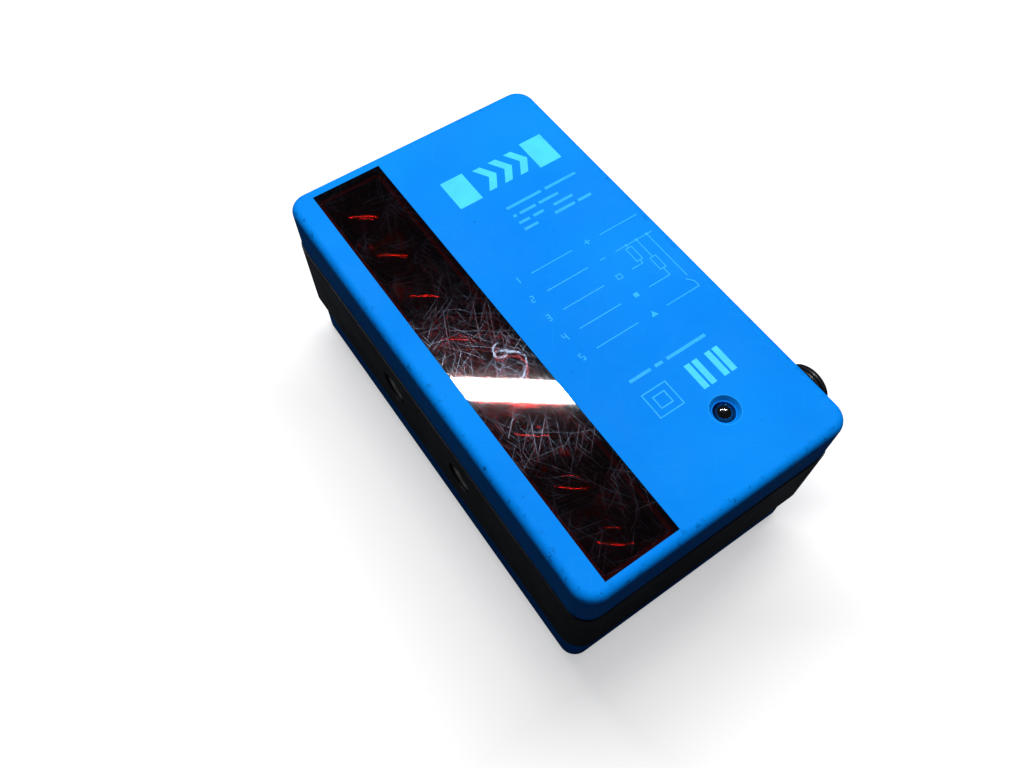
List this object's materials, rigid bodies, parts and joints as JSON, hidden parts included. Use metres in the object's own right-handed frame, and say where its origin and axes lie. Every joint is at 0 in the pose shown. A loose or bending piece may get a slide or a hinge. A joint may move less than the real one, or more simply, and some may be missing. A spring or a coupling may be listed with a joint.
{
  "type": "photoelectric sensor",
  "caption": "Block-shaped photoelectric sensor with a long dark red window over a row of lenses, a status light, side mounting inserts and a round M12 plug.",
  "frame": {"origin": "centre of the flat rear face of the rear cover", "axes": "+X towards the plug side, +Y along the housing's length away from the status light, +Z out of the window face"},
  "size_m": [0.0836, 0.1204, 0.05],
  "materials": {
    "cover_blue": "fine moulded grain, slightly shiny from handling",
    "body_black": "fine spark-eroded grain",
    "window_red": "polished acrylic with fine scratches",
    "clear_plastic": "clear, polished",
    "film_grey": "clear film, grey tint",
    "seal_black": "matt",
    "insert_brass": "nickel-bright turned metal",
    "screw_steel": "zinc plated",
    "contact_gold": "gold plated",
    "plug_black": "moulded, slightly shiny",
    "lead_grey": "smooth sheath",
    "connector_ivory": "moulded",
    "board_green": "solder mask",
    "chip_black": "moulded",
    "led_red": "clear tinted resin",
    "diode_dark": "dark resin",
    "capacitor_can": "drawn can",
    "led_yellow": "clear tinted resin"
  },
  "bodies": {
    "housing": {"front_cover": "cover_blue", "front_window": "window_red", "window_seal": "seal_black", "light_guide": "clear_plastic", "cover_seal": "seal_black", "middle_body": "body_black", "threaded_inserts": "insert_brass", "rear_seal": "seal_black", "rear_cover": "cover_blue", "housing_screws": "screw_steel", "plug_retaining_ring": "screw_steel", "plug_lead": "lead_grey", "plug_lead_socket": "connector_ivory", "optics_carrier": "body_black", "lens_strip": "clear_plastic", "polarising_film": "film_grey", "optics_board": "board_green", "carrier_screws": "screw_steel", "emitter_leds": "led_red", "receiver_photodiodes": "diode_dark", "main_board": "board_green", "main_board_screws": "screw_steel", "board_link_header": "chip_black", "board_link_socket": "chip_black", "processor_chip": "chip_black", "output_transistors": "chip_black", "smoothing_capacitors": "capacitor_can", "choke_coil": "chip_black", "status_led": "led_yellow"},
    "plug": {"plug_shell": "plug_black", "plug_contact_carrier": "plug_black", "plug_contact_pins": "contact_gold", "plug_o_ring": "seal_black"}
  },
  "joints": [
    {"name": "plug_turn", "type": "hinge", "parent": "housing", "child": "plug", "pos_m": [0.0352, -0.043, 0.0265], "axis": [1, 0, 0], "range_deg": [-90, 90]}
  ]
}
